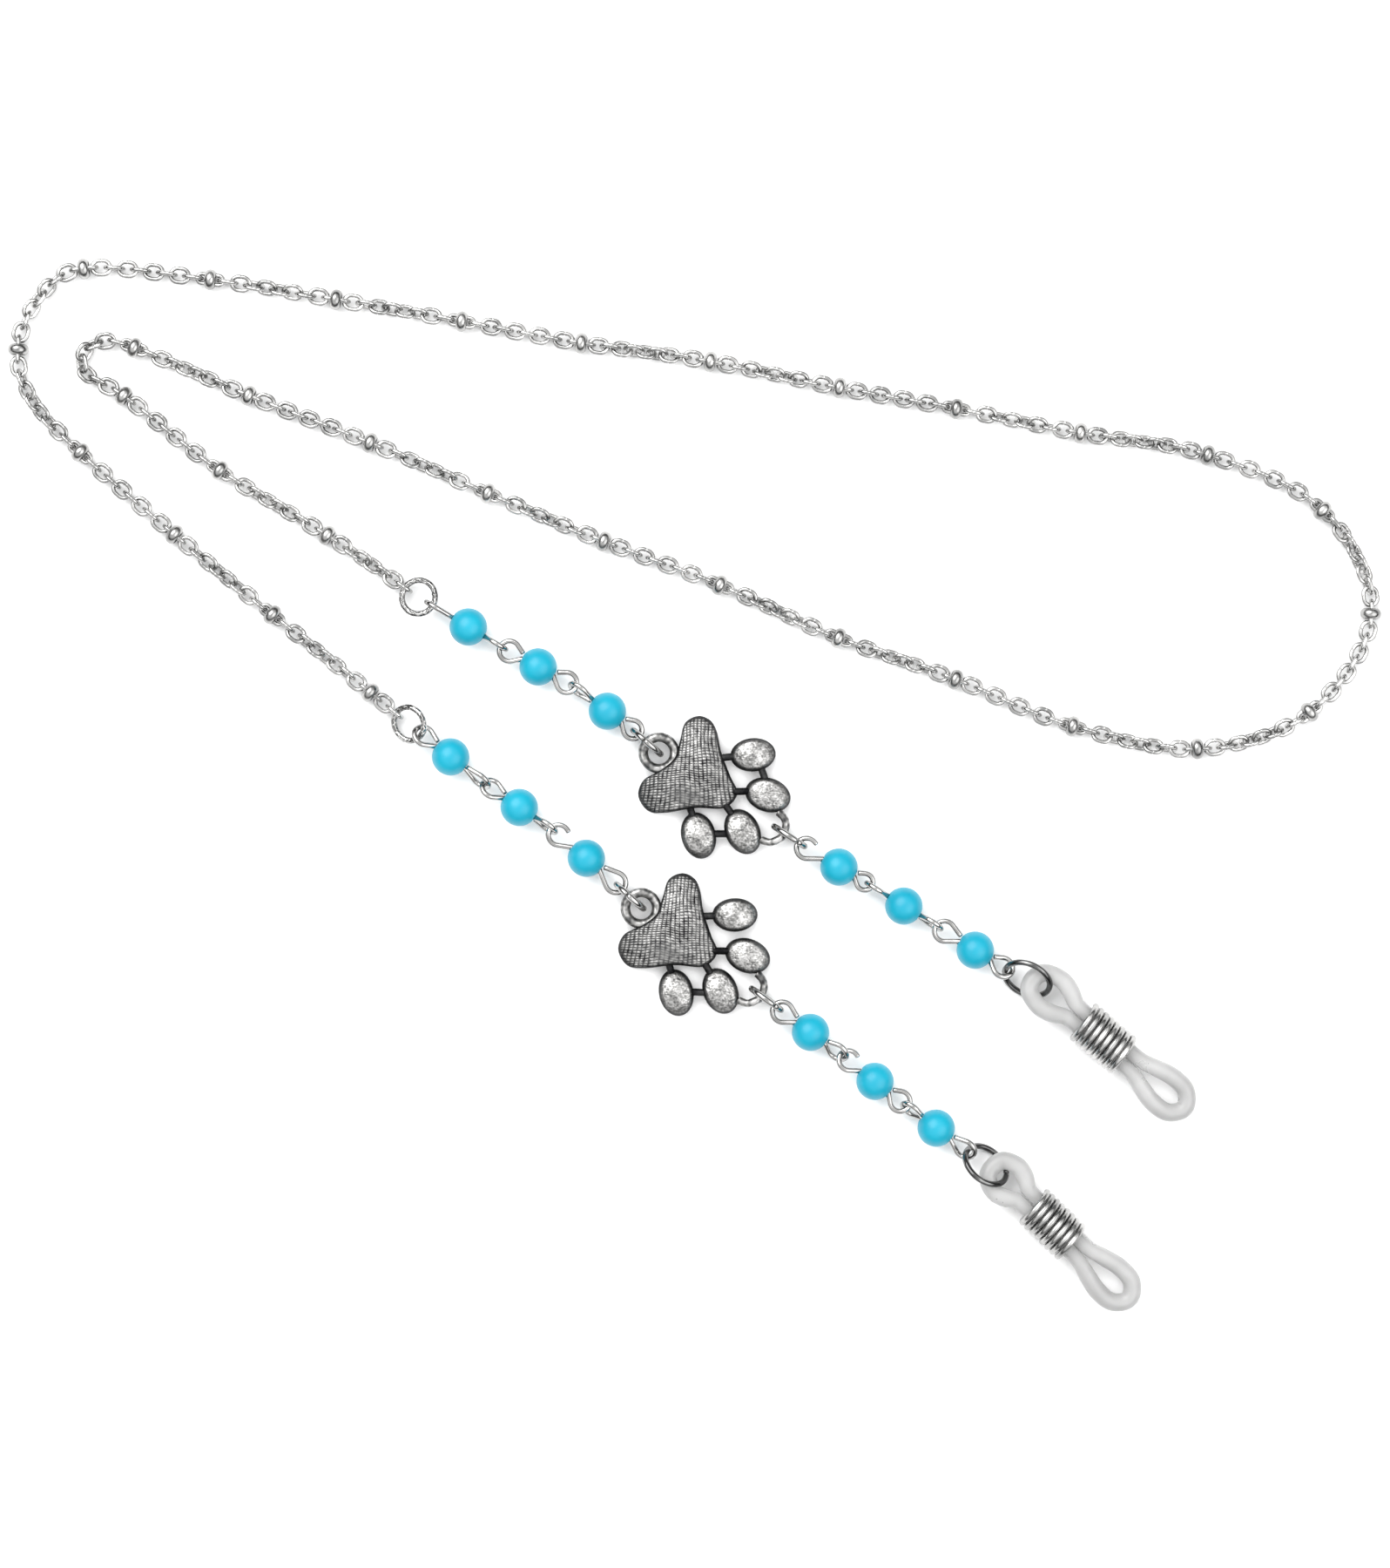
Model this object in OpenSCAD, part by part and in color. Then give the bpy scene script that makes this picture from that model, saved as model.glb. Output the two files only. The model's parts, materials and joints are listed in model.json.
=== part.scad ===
// Beaded eyeglass retainer strap: a satellite cable chain, and on each of its ends a row of beads,
// a cast paw charm, more beads and a rubber loop that grips a spectacle temple.
// It lies on a flat surface as a nested loop. X runs right, Y up the layout and Z off the surface.
// The origin is the middle of the strap's footprint, on that surface. Sizes are in millimetres.

/* [Chain] */
// Wire thickness of a chain link
link_wire = 0.5; // [0.44:0.01:0.52]
// Outer length of a chain link
link_length = 2.6; // [2.58:0.01:2.64]
// Outer width of a chain link
link_width = 2.1; // [2.05:0.05:2.15]
// Outer length of the narrow link that carries a satellite bead
carrier_length = 3.5; // [3.45:0.01:3.55]
// Outer width of that narrow link
carrier_width = 1.6; // [1.55:0.05:1.6]
// Outer diameter of a satellite bead
satellite_diameter = 2.4; // [2.3:0.05:2.5]
// Length of a satellite bead along the chain
satellite_length = 1.2; // [1:0.05:1.3]

/* [Beads and eye pins] */
// Diameter of a turquoise bead
bead_diameter = 4.3; // [4:0.05:4.3]
// Diameter of the hole through it
bead_hole = 0.95; // [0.8:0.05:1.2]
// Wire thickness of an eye pin
pin_wire = 0.64; // [0.5:0.02:0.64]
// Radius of a pin's eye, to the middle of its wire
eye_radius = 1.22; // [1.15:0.01:1.25]

/* [Rings] */
// Radius of a hammered ring, to the middle of its wire
hammered_radius = 1.93; // [1.85:0.01:1.95]
// Wire thickness of a hammered ring
hammered_wire = 0.8; // [0.6:0.05:0.8]
// Radius of the jump rings on a charm, to the middle of their wire
jump_radius = 2.07; // [2:0.01:2.1]
// Wire thickness of those jump rings
jump_wire = 0.75; // [0.6:0.05:0.75]
// Radius of the ring that holds a rubber loop, to the middle of its wire
end_ring_radius = 2.7; // [2.65:0.01:2.75]
// Wire thickness of that ring
end_ring_wire = 0.7; // [0.6:0.05:0.7]

/* [Charm] */
// Height of the charm's flat back over the surface
charm_back_z = 0.45; // [0.4:0.05:0.5]
// Thickness of the pad at its crown
pad_thickness = 2.3; // [2:0.1:2.5]
// Thickness of a toe at its crown
toe_thickness = 2.2; // [1.8:0.1:2.4]
// Radius of the cast ring that the charm hangs from, to the middle of its wire
charm_ring_radius = 1.8; // [1.75:0.01:1.85]
// Wire thickness of that cast ring
charm_ring_wire = 1.1; // [0.9:0.05:1.1]
// Radius of the loop between the two outer toes, to the middle of its wire
outlet_radius = 1.85; // [1.8:0.01:1.9]
// Wire thickness of that loop
outlet_wire = 0.9; // [0.7:0.05:0.9]

/* [Rubber loop and coil] */
// Wire thickness of the coil
coil_wire = 0.72; // [0.6:0.02:0.74]
// Outer diameter of the coil
coil_diameter = 5.2; // [5.2:0.05:5.4]
// Distance from one turn of the coil to the next
coil_pitch = 0.8; // [0.78:0.01:0.84]
// Number of turns in the coil
coil_turns = 7.5; // [6.5:0.5:7.5]

/* [Hidden] */
$fn = 40;
SILVER = "silver";
PEWTER = "dimgray";
TURQUOISE = "deepskyblue";
RUBBER = "whitesmoke";

// The chain's run from one hammered ring to the other, past its satellite beads: x, y and
// whether a satellite sits there. The rows without one only shape the two tight turns.
chain_route = [
    [-32.7, 7.0, 0], [-37.15, 10.6, 1], [-48.4, 19.5, 1], [-59.6, 28.7, 1], [-70.4, 38.1, 1],
    [-76.0, 44.2, 0], [-77.6, 49.9, 1], [-75.3, 55.6, 0], [-70.0, 59.2, 1], [-55.5, 57.9, 1],
    [-41.1, 55.6, 1], [-26.7, 53.1, 1], [-13.0, 50.6, 1], [1.8, 48.5, 1], [16.6, 45.5, 1],
    [30.0, 43.1, 1], [44.2, 40.3, 1], [58.8, 37.8, 1], [72.0, 31.5, 1], [77.6, 19.6, 1],
    [70.5, 8.3, 1], [57.6, 4.1, 1], [43.3, 6.7, 1], [29.9, 12.1, 1], [16.5, 16.8, 1],
    [2.9, 22.9, 1], [-10.4, 27.9, 1], [-23.7, 33.4, 1], [-37.2, 39.2, 1], [-51.1, 44.6, 1],
    [-64.2, 50.1, 1], [-67.4, 50.9, 0], [-69.9, 49.9, 0], [-70.2, 47.7, 0], [-68.6, 46.2, 0],
    [-65.4, 44.6, 1], [-54.4, 36.0, 1], [-42.1, 28.6, 1], [-31.6, 21.5, 0]
];
// Points of the smooth centre line from one row of the route to the next
ROUTE_STEPS = 8;
// Runs of links that a hinge joins to the next
SEGMENTS = 11;
// Play between two links, and between the last link and its ring
SLACK = 0.06;
RING_PLAY = 0.15;
// How far the links in the middle of a stretch turn about the chain
MOST_TWIST = 40;
chain_z = satellite_diameter / 2;
// Radius of a satellite bead's rounded outside, as it is cut along its hole
satellite_bulge = 0.8;

// Each strand's two rows of eye pins, by the points where they touch their neighbours, then the
// share of its length at which each pin carries its bead, and the tilt of each of its two eyes
// about the pin: 0 lies flat and 90 stands on edge.
pin_ends = [
    [[[-30.38, 20.75], [-21.9, 15.7], [-13.9, 11.3], [-6.5, 5.9]],
     [[12.1, -6.85], [20.0, -11.4], [27.9, -16.3], [36.0, -21.3]]],
    [[[-31.6, 6.13], [-23.9, 0.05], [-16.2, -5.2], [-8.4, -11.7]],
     [[9.4, -25.5], [17.0, -31.0], [24.15, -36.7], [31.6, -42.15]]]
];
bead_share = [
    [0.53, 0.5, 0.53, 0.56, 0.5, 0.52],
    [0.48, 0.5, 0.49, 0.51, 0.51, 0.47]
];
eye_tilts = [
    [[90, 90], [0, 0], [70, 0], [0, 0], [90, 80], [5, -25]],
    [[-35, 65], [-40, 75], [0, 0], [0, 50], [-20, 0], [65, 40]]
];

// Where each ring lies: x, y, z, then its heading, its tilt about that heading and its pitch
hammered_rings = [[-31.6, 21.5, 1.68, -33, 0, -13], [-32.7, 7.0, 1.67, -39, 27, -13]];
jump_rings_in = [[-5.45, 4.88, 2.45, -41, 90, 0], [-7.38, -12.76, 2.45, -42, 90, 0]];
jump_rings_out = [[10.83, -5.88, 2.45, -33, 90, 0], [8.2, -24.5, 2.45, -36, 90, 0]];
end_rings = [[38.05, -22.2, 2.44, -28, 50.4, 1], [33.31, -43.48, 2.48, -36, -51.5, 1]];

// Where each charm lies: x, y and its heading. Its own axes start from the middle of the casting.
charms = [[2, 0, 0], [-0.25, -18.1, -3]];
// The pad's outline, three rounded lobes with hollow sides
pad_outline = [
    [-1.6, 7.9], [-3.1, 7.1], [-3.65, 5.2], [-4.3, 3.1], [-6.1, 1.6], [-7.9, 0.5], [-8.45, -1.3],
    [-7.3, -3.0], [-5.3, -3.2], [-1.9, -2.65], [1.4, -2.65], [2.9, -1.0], [2.1, 1.0], [1.1, 3.6],
    [0.55, 6.1], [-0.2, 7.4]
];
// Each toe's middle, its heading and its half length and half width
toes = [[4.7, 3.45, 5, 2.6, 1.92], [6.4, -1.15, -17, 2.65, 1.95],
        [3.5, -5.35, -65, 2.7, 1.98], [-1.55, -5.8, -75, 2.7, 1.98]];
// The bars that tie toes and pad together, by their two ends
bars = [[[1.0, 3.1], [3.0, 3.3]], [[2.0, -0.8], [4.6, -0.7]], [[1.4, -2.1], [2.3, -3.4]],
        [[-2.6, -2.4], [-2.2, -3.6]], [[0.1, -5.6], [1.9, -5.6]]];
// The short tie between the two upper toes, which the second casting lacks
toe_tie = [[5.6, 2.0], [6.1, 0.6]];
bar_radius = 0.42;
pad_crown_radius = 15;
pad_crown_at = [-2.2, 1.0];
toe_crown_radius = 3.8;
charm_ring_at = [-6.09, 3.67];
outlet_at = [6.6, -4.7];
outlet_from = -125;
outlet_sweep = 185;
charm_mid_z = 1.05;

// Half of a rubber loop's run, from the end that hangs on its ring to the end that takes the
// temple: distance along the loop from the coil's middle, half spread, height and cord radius.
rubber_half = [
    [-9.9, 1.35, 2.3, 1.03], [-8.0, 2.0, 2.4, 1.03], [-6.4, 1.7, 2.5, 1.03],
    [-5.0, 1.02, 2.58, 0.93], [-4.2, 0.9, 2.6, 0.87], [-2.0, 0.9, 2.6, 0.87],
    [0.0, 0.9, 2.6, 0.87], [2.0, 0.9, 2.6, 0.87], [4.9, 0.9, 2.6, 0.87],
    [7.0, 1.42, 2.35, 0.98], [9.0, 1.85, 1.85, 1.03], [10.9, 1.75, 1.35, 1.03],
    [12.0, 0.95, 1.12, 1.03]
];
rubber_near = [-10.45, 0, 2.3, 1.03];
rubber_far = [12.4, 0, 1.08, 1.03];
waist_start = -4.4;
// Where each coil's middle lies, its heading, and how long its hanging end is against the first
rubber_loops = [[46.7, -28.95, -40.6, 1], [40.9, -50.2, -44.3, 0.83]];

bead_z = bead_diameter / 2;
// Gap left between solids that touch on the real strap
CONTACT_GAP = 0.02;
// How far an eye may reach into the mouth of its bead
SEATING = 0.06;
// Thickness of the wire inside a bead against the rest of the pin
SHANK_SHARE = 0.92;
// Rings of the skin in each turn of the coil
COIL_STEPS = 20;

function unit(v) = v / norm(v);
function flat(p) = [p.x, p.y];
function spatial(p) = [p.x, p.y, p.z];
function heading(a, b) = atan2(b.y - a.y, b.x - a.x);

// A smooth curve through rows of numbers: the curve's value at share t between rows b and c
function curve(a, b, c, d, t) =
    0.5 * (2 * b + (c - a) * t + (2 * a - 5 * b + 4 * c - d) * t * t
           + (3 * b - a - 3 * c + d) * t * t * t);
function closed_curve(rows, steps) = [
    for (i = [0:len(rows) - 1], k = [0:steps - 1])
        let (n = len(rows))
        curve(rows[(i + n - 1) % n], rows[i], rows[(i + 1) % n], rows[(i + 2) % n], k / steps)
];
function open_curve(rows, steps) = [
    for (i = [0:len(rows) - 2], k = [0:steps - 1])
        curve(rows[max(i - 1, 0)], rows[i], rows[i + 1], rows[min(i + 2, len(rows) - 1)],
              k / steps),
    rows[len(rows) - 1]
];

// The chain's centre line, with the distance along it of each of its points
chain_line = open_curve([for (p = chain_route) flat(p)], ROUTE_STEPS);
chain_reach = [
    for (i = 0, s = 0; i < len(chain_line);
         i = i + 1, s = s + (i < len(chain_line) ? norm(chain_line[i] - chain_line[i - 1]) : 0)) s
];
x_by_reach = [for (i = [0:len(chain_line) - 1]) [chain_reach[i], chain_line[i].x]];
y_by_reach = [for (i = [0:len(chain_line) - 1]) [chain_reach[i], chain_line[i].y]];
function chain_at(s) = [lookup(s, x_by_reach), lookup(s, y_by_reach)];

// Distances along the chain of its two ends and of each satellite bead
stations = [
    for (i = [0:len(chain_route) - 1])
        if (chain_route[i][2] == 1 || i == 0 || i == len(chain_route) - 1)
            chain_reach[i * ROUTE_STEPS]
];
satellites = len(stations) - 2;
// Centre distances between neighbours: link to link, carrier to link and ring to link
link_step = link_length - 2 * link_wire - SLACK;
carrier_step = carrier_length / 2 + link_length / 2 - 2 * link_wire - SLACK / 2;
ring_step = hammered_radius - hammered_wire / 2 + link_length / 2 - link_wire - RING_PLAY;
// Half distances over which a link and a carrier hang between the points where they touch
link_reach = link_step / 2;
carrier_reach = carrier_step - link_reach;
function first_step(i) = i == 0 ? ring_step : carrier_step;
function last_step(i) = i == satellites ? ring_step : carrier_step;
function room(i) = stations[i + 1] - stations[i] - first_step(i) - last_step(i);
function links_in(i) = ceil(room(i) / link_step) + 1;
function links_before(i) = i == 0 ? 0 : links_before(i - 1) + links_in(i - 1) + 1;
function segment_of(satellite) = floor(satellite * SEGMENTS / satellites);
function segment_before(i) = segment_of(max(i - 1, 0));
function segment_after(i) = segment_of(min(i, satellites - 1));
function is_split(i) = segment_before(i) != segment_after(i);
// A stretch between two satellites of one segment is twisted most in its middle, each one the
// other way. The last stretch turns by 90 degrees in all where that is what stands its last link
// on edge in its ring.
last_is_flat = (links_before(satellites) + links_in(satellites)) % 2 == 0;
function twist(i, j) =
    i == satellites ? (last_is_flat ? 90 * (j + 1) / links_in(i) : 0)
    : i == 0 || is_split(i) ? 0
    : MOST_TWIST * pow(-1, i + 1) * pow(sin(180 * (j + 1) / (links_in(i) + 1)), 2);

// Every plain link: distance along the chain, tilt, and the segment that it belongs to
links = [
    for (i = [0:satellites], j = [0:links_in(i) - 1])
        [stations[i] + first_step(i) + j * room(i) / (links_in(i) - 1),
         90 * ((links_before(i) + j + 1) % 2) + twist(i, j),
         j < links_in(i) / 2 ? segment_before(i) : segment_after(i)]
];
// Every carrier link and its satellite bead, in the same way
carriers = [
    for (i = [0:satellites - 1])
        [stations[i + 1], 90 * (links_before(i + 1) % 2), segment_of(i)]
];

// Puts its children at x, y, z with a heading, a tilt about it and a pitch
module placed(at) {
    translate([at[0], at[1], at[2]])
        rotate([0, 0, at[3]])
            rotate([0, at[5], 0])
                rotate([at[4], 0, 0])
                    children();
}

// A link is the chord between two points of the centre line, so neighbours meet on that line
module on_chain(row, reach) {
    ends = [chain_at(row[0] - reach), chain_at(row[0] + reach)];
    at = (ends[0] + ends[1]) / 2;
    placed([at.x, at.y, chain_z, heading(ends[0], ends[1]), row[1], 0])
        children();
}

module wire_ring(radius, wire) {
    rotate_extrude()
        translate([radius, 0])
            circle(d = wire);
}

module wire_arc(radius, wire, from, sweep) {
    rotate([0, 0, from])
        rotate_extrude(angle = sweep)
            translate([radius, 0])
                circle(d = wire);
}

// One stadium-shaped wire link, long along X and lying flat
module wire_link(length, width, wire) {
    bend = (width - wire) / 2;
    straight = length - width;
    for (end = [0, 1])
        rotate([0, 0, 180 * end])
            translate([straight / 2, 0, 0])
                wire_arc(bend, wire, -90, 180);
    for (side = [-1, 1])
        translate([-straight / 2, side * bend, 0])
            rotate([0, 90, 0])
                cylinder(h = straight, d = wire);
}

// A skin swept along rows of x, y, z and radius. Its rings are square to the run, and ref is a
// direction that the run never follows.
module swept(rows, sides, ref, closed) {
    n = len(rows);
    spans = closed ? n : n - 1;
    points = [
        for (i = [0:n - 1])
            let (before = closed ? rows[(i + n - 1) % n] : rows[max(i - 1, 0)],
                 after = closed ? rows[(i + 1) % n] : rows[min(i + 1, n - 1)],
                 along = unit(spatial(after) - spatial(before)),
                 side = unit(cross(along, ref)),
                 rise = cross(side, along))
            for (k = [0:sides - 1])
                spatial(rows[i]) + rows[i][3] * (cos(360 * k / sides) * side
                                                 + sin(360 * k / sides) * rise)
    ];
    skin = [
        for (i = [0:spans - 1], k = [0:sides - 1])
            let (a = i * sides, b = ((i + 1) % n) * sides, next = (k + 1) % sides)
            each [[a + k, b + next, b + k], [a + k, a + next, b + next]]
    ];
    caps = closed ? [] : [
        [for (k = [sides - 1:-1:0]) k],
        [for (k = [0:sides - 1]) (n - 1) * sides + k]
    ];
    polyhedron(points, concat(skin, caps));
}

module chain_links(segment) {
    color(SILVER) {
        for (row = links)
            if (row[2] == segment)
                on_chain(row, link_reach)
                    wire_link(link_length, link_width, link_wire);
        for (row = carriers)
            if (row[2] == segment)
                on_chain(row, carrier_reach)
                    wire_link(carrier_length, carrier_width, link_wire);
    }
}

module satellite_bead() {
    bore = carrier_width / 2 + CONTACT_GAP;
    rotate([0, 90, 0])
        rotate_extrude()
            intersection() {
                translate([bore, -satellite_length / 2])
                    square([satellite_diameter, satellite_length]);
                translate([satellite_diameter / 2 - satellite_bulge, 0])
                    circle(r = satellite_bulge);
            }
}

module satellite_beads(segment) {
    color(SILVER)
        for (row = carriers)
            if (row[2] == segment)
                on_chain(row, carrier_reach)
                    satellite_bead();
}

module hammered_ring(s) {
    color(SILVER)
        placed(hammered_rings[s])
            wire_ring(hammered_radius, hammered_wire);
}

// Where a pin lies: its ends in the row of pins, and its bead's distance from the first end
function pin_start(s, k) = pin_ends[s][floor(k / 3)][k % 3];
function pin_end(s, k) = pin_ends[s][floor(k / 3)][k % 3 + 1];
function pin_span(s, k) = norm(pin_end(s, k) - pin_start(s, k));
function bead_at(s, k) = pin_start(s, k) + bead_share[s][k] * (pin_end(s, k) - pin_start(s, k));

module on_pin(s, k) {
    at = bead_at(s, k);
    placed([at.x, at.y, bead_z, heading(pin_start(s, k), pin_end(s, k)), 0, 0])
        children();
}

// The eye at the end of a pin, reach from the bead's middle to the outermost wire's middle. It is
// made smaller where the bead leaves it less room.
module pin_eye(reach, tilt) {
    room = reach - (bead_diameter + pin_wire) / 2 + SEATING;
    radius = min(eye_radius, room / 2);
    translate([reach - radius, 0, 0])
        rotate([tilt, 0, 0])
            wire_ring(radius, pin_wire);
    rotate([0, 90, 0])
        cylinder(h = reach - 2 * radius, d = pin_wire * SHANK_SHARE);
}

module eye_pin(s, k) {
    past = pin_wire / 2 + CONTACT_GAP;
    reach = [bead_share[s][k] * pin_span(s, k) + past,
             (1 - bead_share[s][k]) * pin_span(s, k) + past];
    color(SILVER)
        on_pin(s, k) {
            rotate([0, 0, 180])
                pin_eye(reach[0], -eye_tilts[s][k][0]);
            pin_eye(reach[1], eye_tilts[s][k][1]);
        }
}

module bead(s, k) {
    color(TURQUOISE)
        on_pin(s, k)
            rotate([0, 90, 0])
                rotate_extrude()
                    difference() {
                        circle(d = bead_diameter);
                        translate([bead_hole / 2 - bead_diameter, -bead_diameter])
                            square([bead_diameter, 2 * bead_diameter]);
                    }
}

module charm_ring_in(s) {
    color(SILVER)
        placed(jump_rings_in[s])
            wire_ring(jump_radius, jump_wire);
}

module charm_ring_out(s) {
    color(SILVER)
        placed(jump_rings_out[s])
            wire_ring(jump_radius, jump_wire);
}

module charm_bar(ends) {
    a = ends[0];
    b = ends[1];
    translate([a.x, a.y, charm_mid_z])
        rotate([0, 0, heading(a, b)])
            rotate([0, 90, 0])
                cylinder(h = norm(b - a), r = bar_radius);
}

module charm_pad() {
    intersection() {
        linear_extrude(height = pad_thickness)
            polygon(closed_curve(pad_outline, 4));
        translate([pad_crown_at.x, pad_crown_at.y, pad_thickness - pad_crown_radius])
            sphere(r = pad_crown_radius);
    }
}

module charm_toe(toe) {
    translate([toe[0], toe[1], 0])
        rotate([0, 0, toe[2]])
            intersection() {
                linear_extrude(height = toe_thickness)
                    polygon([for (t = [0:12:348]) [toe[3] * cos(t), toe[4] * sin(t)]]);
                translate([0, 0, toe_thickness - toe_crown_radius])
                    sphere(r = toe_crown_radius);
            }
}

module paw_charm(s) {
    color(PEWTER)
        placed([charms[s].x, charms[s].y, charm_back_z, charms[s].z, 0, 0]) {
            charm_pad();
            for (toe = toes)
                charm_toe(toe);
            for (ends = s == 0 ? concat(bars, [toe_tie]) : bars)
                charm_bar(ends);
            translate([charm_ring_at.x, charm_ring_at.y, charm_mid_z])
                wire_ring(charm_ring_radius, charm_ring_wire);
            translate([outlet_at.x, outlet_at.y, charm_mid_z])
                wire_arc(outlet_radius, outlet_wire, outlet_from, outlet_sweep);
        }
}

module end_ring(s) {
    color(SILVER)
        placed(end_rings[s])
            wire_ring(end_ring_radius, end_ring_wire);
}

module on_loop(s) {
    at = rubber_loops[s];
    placed([at[0], at[1], 0, at[2], 0, 0])
        children();
}

// A loop's hanging end is drawn in towards the waist by the loop's own share
function drawn_in(row, share) =
    [row[0] < waist_start ? waist_start + share * (row[0] - waist_start) : row[0],
     row[1], row[2], row[3]];

module rubber_loop(s) {
    half = [for (row = rubber_half) drawn_in(row, rubber_loops[s][3])];
    back = [for (i = [len(half) - 1:-1:0]) [half[i][0], -half[i][1], half[i][2], half[i][3]]];
    run = concat([drawn_in(rubber_near, rubber_loops[s][3])], half, [rubber_far], back);
    color(RUBBER)
        on_loop(s)
            swept(closed_curve(run, 3), 12, [0, 0, 1], true);
}

module coil_spring(s) {
    mean = (coil_diameter - coil_wire) / 2;
    steps = coil_turns * COIL_STEPS;
    run = [
        for (i = [0:steps])
            let (turn = 360 * i / COIL_STEPS)
            [(i / COIL_STEPS - coil_turns / 2) * coil_pitch,
             mean * cos(turn),
             coil_diameter / 2 + mean * sin(turn),
             coil_wire / 2]
    ];
    color(SILVER)
        on_loop(s)
            swept(run, 8, [1, 0, 0], false);
}

function two_digits(k) = str(k < 10 ? "0" : "", k);
STRANDS = ["a", "b"];

for (k = [1:SEGMENTS]) {
    chain_links(k - 1);
    satellite_beads(k - 1);
}
for (s = [0, 1]) {
    hammered_ring(s);
    charm_ring_in(s);
    paw_charm(s);
    charm_ring_out(s);
    end_ring(s);
    rubber_loop(s);
    coil_spring(s);
    for (k = [0:5]) {
        eye_pin(s, k);
        bead(s, k);
    }
}
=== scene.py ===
"""The look of the beaded eyeglass retainer strap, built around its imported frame."""
import json
import math
import random

import bmesh
import bpy
import numpy as np
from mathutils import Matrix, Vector, noise

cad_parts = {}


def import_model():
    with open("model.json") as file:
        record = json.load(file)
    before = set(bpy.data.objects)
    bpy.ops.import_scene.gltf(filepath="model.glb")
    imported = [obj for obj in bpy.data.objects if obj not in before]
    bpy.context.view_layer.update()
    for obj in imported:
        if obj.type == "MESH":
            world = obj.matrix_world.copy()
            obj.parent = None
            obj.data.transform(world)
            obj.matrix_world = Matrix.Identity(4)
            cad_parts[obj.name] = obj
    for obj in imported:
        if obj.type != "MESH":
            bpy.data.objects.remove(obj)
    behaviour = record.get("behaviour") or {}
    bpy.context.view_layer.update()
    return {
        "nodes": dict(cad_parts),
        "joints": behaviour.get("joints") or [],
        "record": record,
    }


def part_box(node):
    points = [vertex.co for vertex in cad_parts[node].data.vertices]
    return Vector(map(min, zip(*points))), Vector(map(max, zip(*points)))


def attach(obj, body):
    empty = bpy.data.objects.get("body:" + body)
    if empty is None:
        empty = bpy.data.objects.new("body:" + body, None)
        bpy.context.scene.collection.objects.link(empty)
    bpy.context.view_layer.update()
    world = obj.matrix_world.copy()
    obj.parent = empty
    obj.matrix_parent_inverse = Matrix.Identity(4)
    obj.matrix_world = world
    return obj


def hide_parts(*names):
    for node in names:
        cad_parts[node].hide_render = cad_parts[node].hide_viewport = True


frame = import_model()
joints = {joint["name"]: joint for joint in frame["joints"]}
MM = 0.001
UP = np.array([0.0, 0.0, 1.0])
CHAIN_RUNS = range(1, 12)
STRANDS = "ab"
BEADS_IN_STRAND = range(1, 7)


# Geometry. Every shape is worked out in millimetres in the frame's own axes, as vertices,
# faces and one number a vertex: how far it is worn bright, from 0 in a recess to 1.

def unit(v):
    return v / np.linalg.norm(v)


def smoothstep(low, high, x):
    t = np.clip((x - low) / (high - low), 0, 1)
    return t * t * (3 - 2 * t)


def ripple(p, scale):
    """Smooth noise between about -1 and 1, at points p in millimetres."""
    return np.array([noise.noise(Vector(q * scale)) for q in np.atleast_2d(p)])


def merged(shapes):
    """Several shapes as one."""
    verts, faces, wear, start = [], [], [], 0
    for v, f, w in shapes:
        verts.append(v)
        faces.extend([tuple(i + start for i in face) for face in f])
        wear.append(w)
        start += len(v)
    return np.concatenate(verts), faces, np.concatenate(wear)


def moved(shape, origin, axes):
    """A shape from local coordinates to the frame: axes are the local X, Y and Z directions."""
    v, f, w = shape
    return np.asarray(origin) + v @ np.array(axes), f, w


def grid_faces(rows, columns, closed_rows, closed_columns):
    """The four-sided faces between vertices that are numbered row by row."""
    faces = []
    for i in range(rows if closed_rows else rows - 1):
        for k in range(columns if closed_columns else columns - 1):
            a, b = i * columns, ((i + 1) % rows) * columns
            n = (k + 1) % columns
            faces.append((a + k, b + k, b + n, a + n))
    return faces


def tube(path, radius, sides, ref, closed=False):
    """A round skin along path. ref is a direction that the path never follows. radius is one
    number, one for each point, or one for each vertex."""
    path = np.asarray(path, float)
    n = len(path)
    radius = np.asarray(radius, float) * np.ones((n, sides))
    if closed:
        along = np.roll(path, -1, 0) - np.roll(path, 1, 0)
    else:
        along = np.gradient(path, axis=0)
    along /= np.linalg.norm(along, axis=1)[:, None]
    side = np.cross(along, ref)
    side /= np.linalg.norm(side, axis=1)[:, None]
    rise = np.cross(side, along)
    turn = np.linspace(0, 2 * np.pi, sides, endpoint=False)
    normal = (np.cos(turn)[None, :, None] * side[:, None, :]
              + np.sin(turn)[None, :, None] * rise[:, None, :])
    verts = (path[:, None, :] + radius[:, :, None] * normal).reshape(-1, 3)
    faces = grid_faces(n, sides, closed, True)
    if not closed:
        faces.append(tuple(range(sides)))
        faces.append(tuple((n - 1) * sides + k for k in reversed(range(sides))))
    return verts, faces, np.ones(len(verts))


def cut_wire(path, radius, sides, ref):
    """A tube whose two cut ends are slightly rounded."""
    path = np.asarray(path, float)
    # How far in from the end, and how thick there, as shares of the radius.
    bevel = [(0.0, 0.55), (0.12, 0.82), (0.32, 0.96)]
    cleared = 0.4 * radius
    first, last = unit(path[1] - path[0]), unit(path[-1] - path[-2])
    head = [path[0] + first * radius * step for step, _ in bevel]
    tail = [path[-1] - last * radius * step for step, _ in reversed(bevel)]
    inner = [p for p in path[1:-1]
             if min(np.linalg.norm(p - path[0]), np.linalg.norm(p - path[-1])) > cleared]
    scale = [s for _, s in bevel] + [1.0] * len(inner) + [s for _, s in reversed(bevel)]
    points = np.array(head + inner + tail)
    return tube(points, radius * np.array(scale)[:, None], sides, ref)


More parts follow.
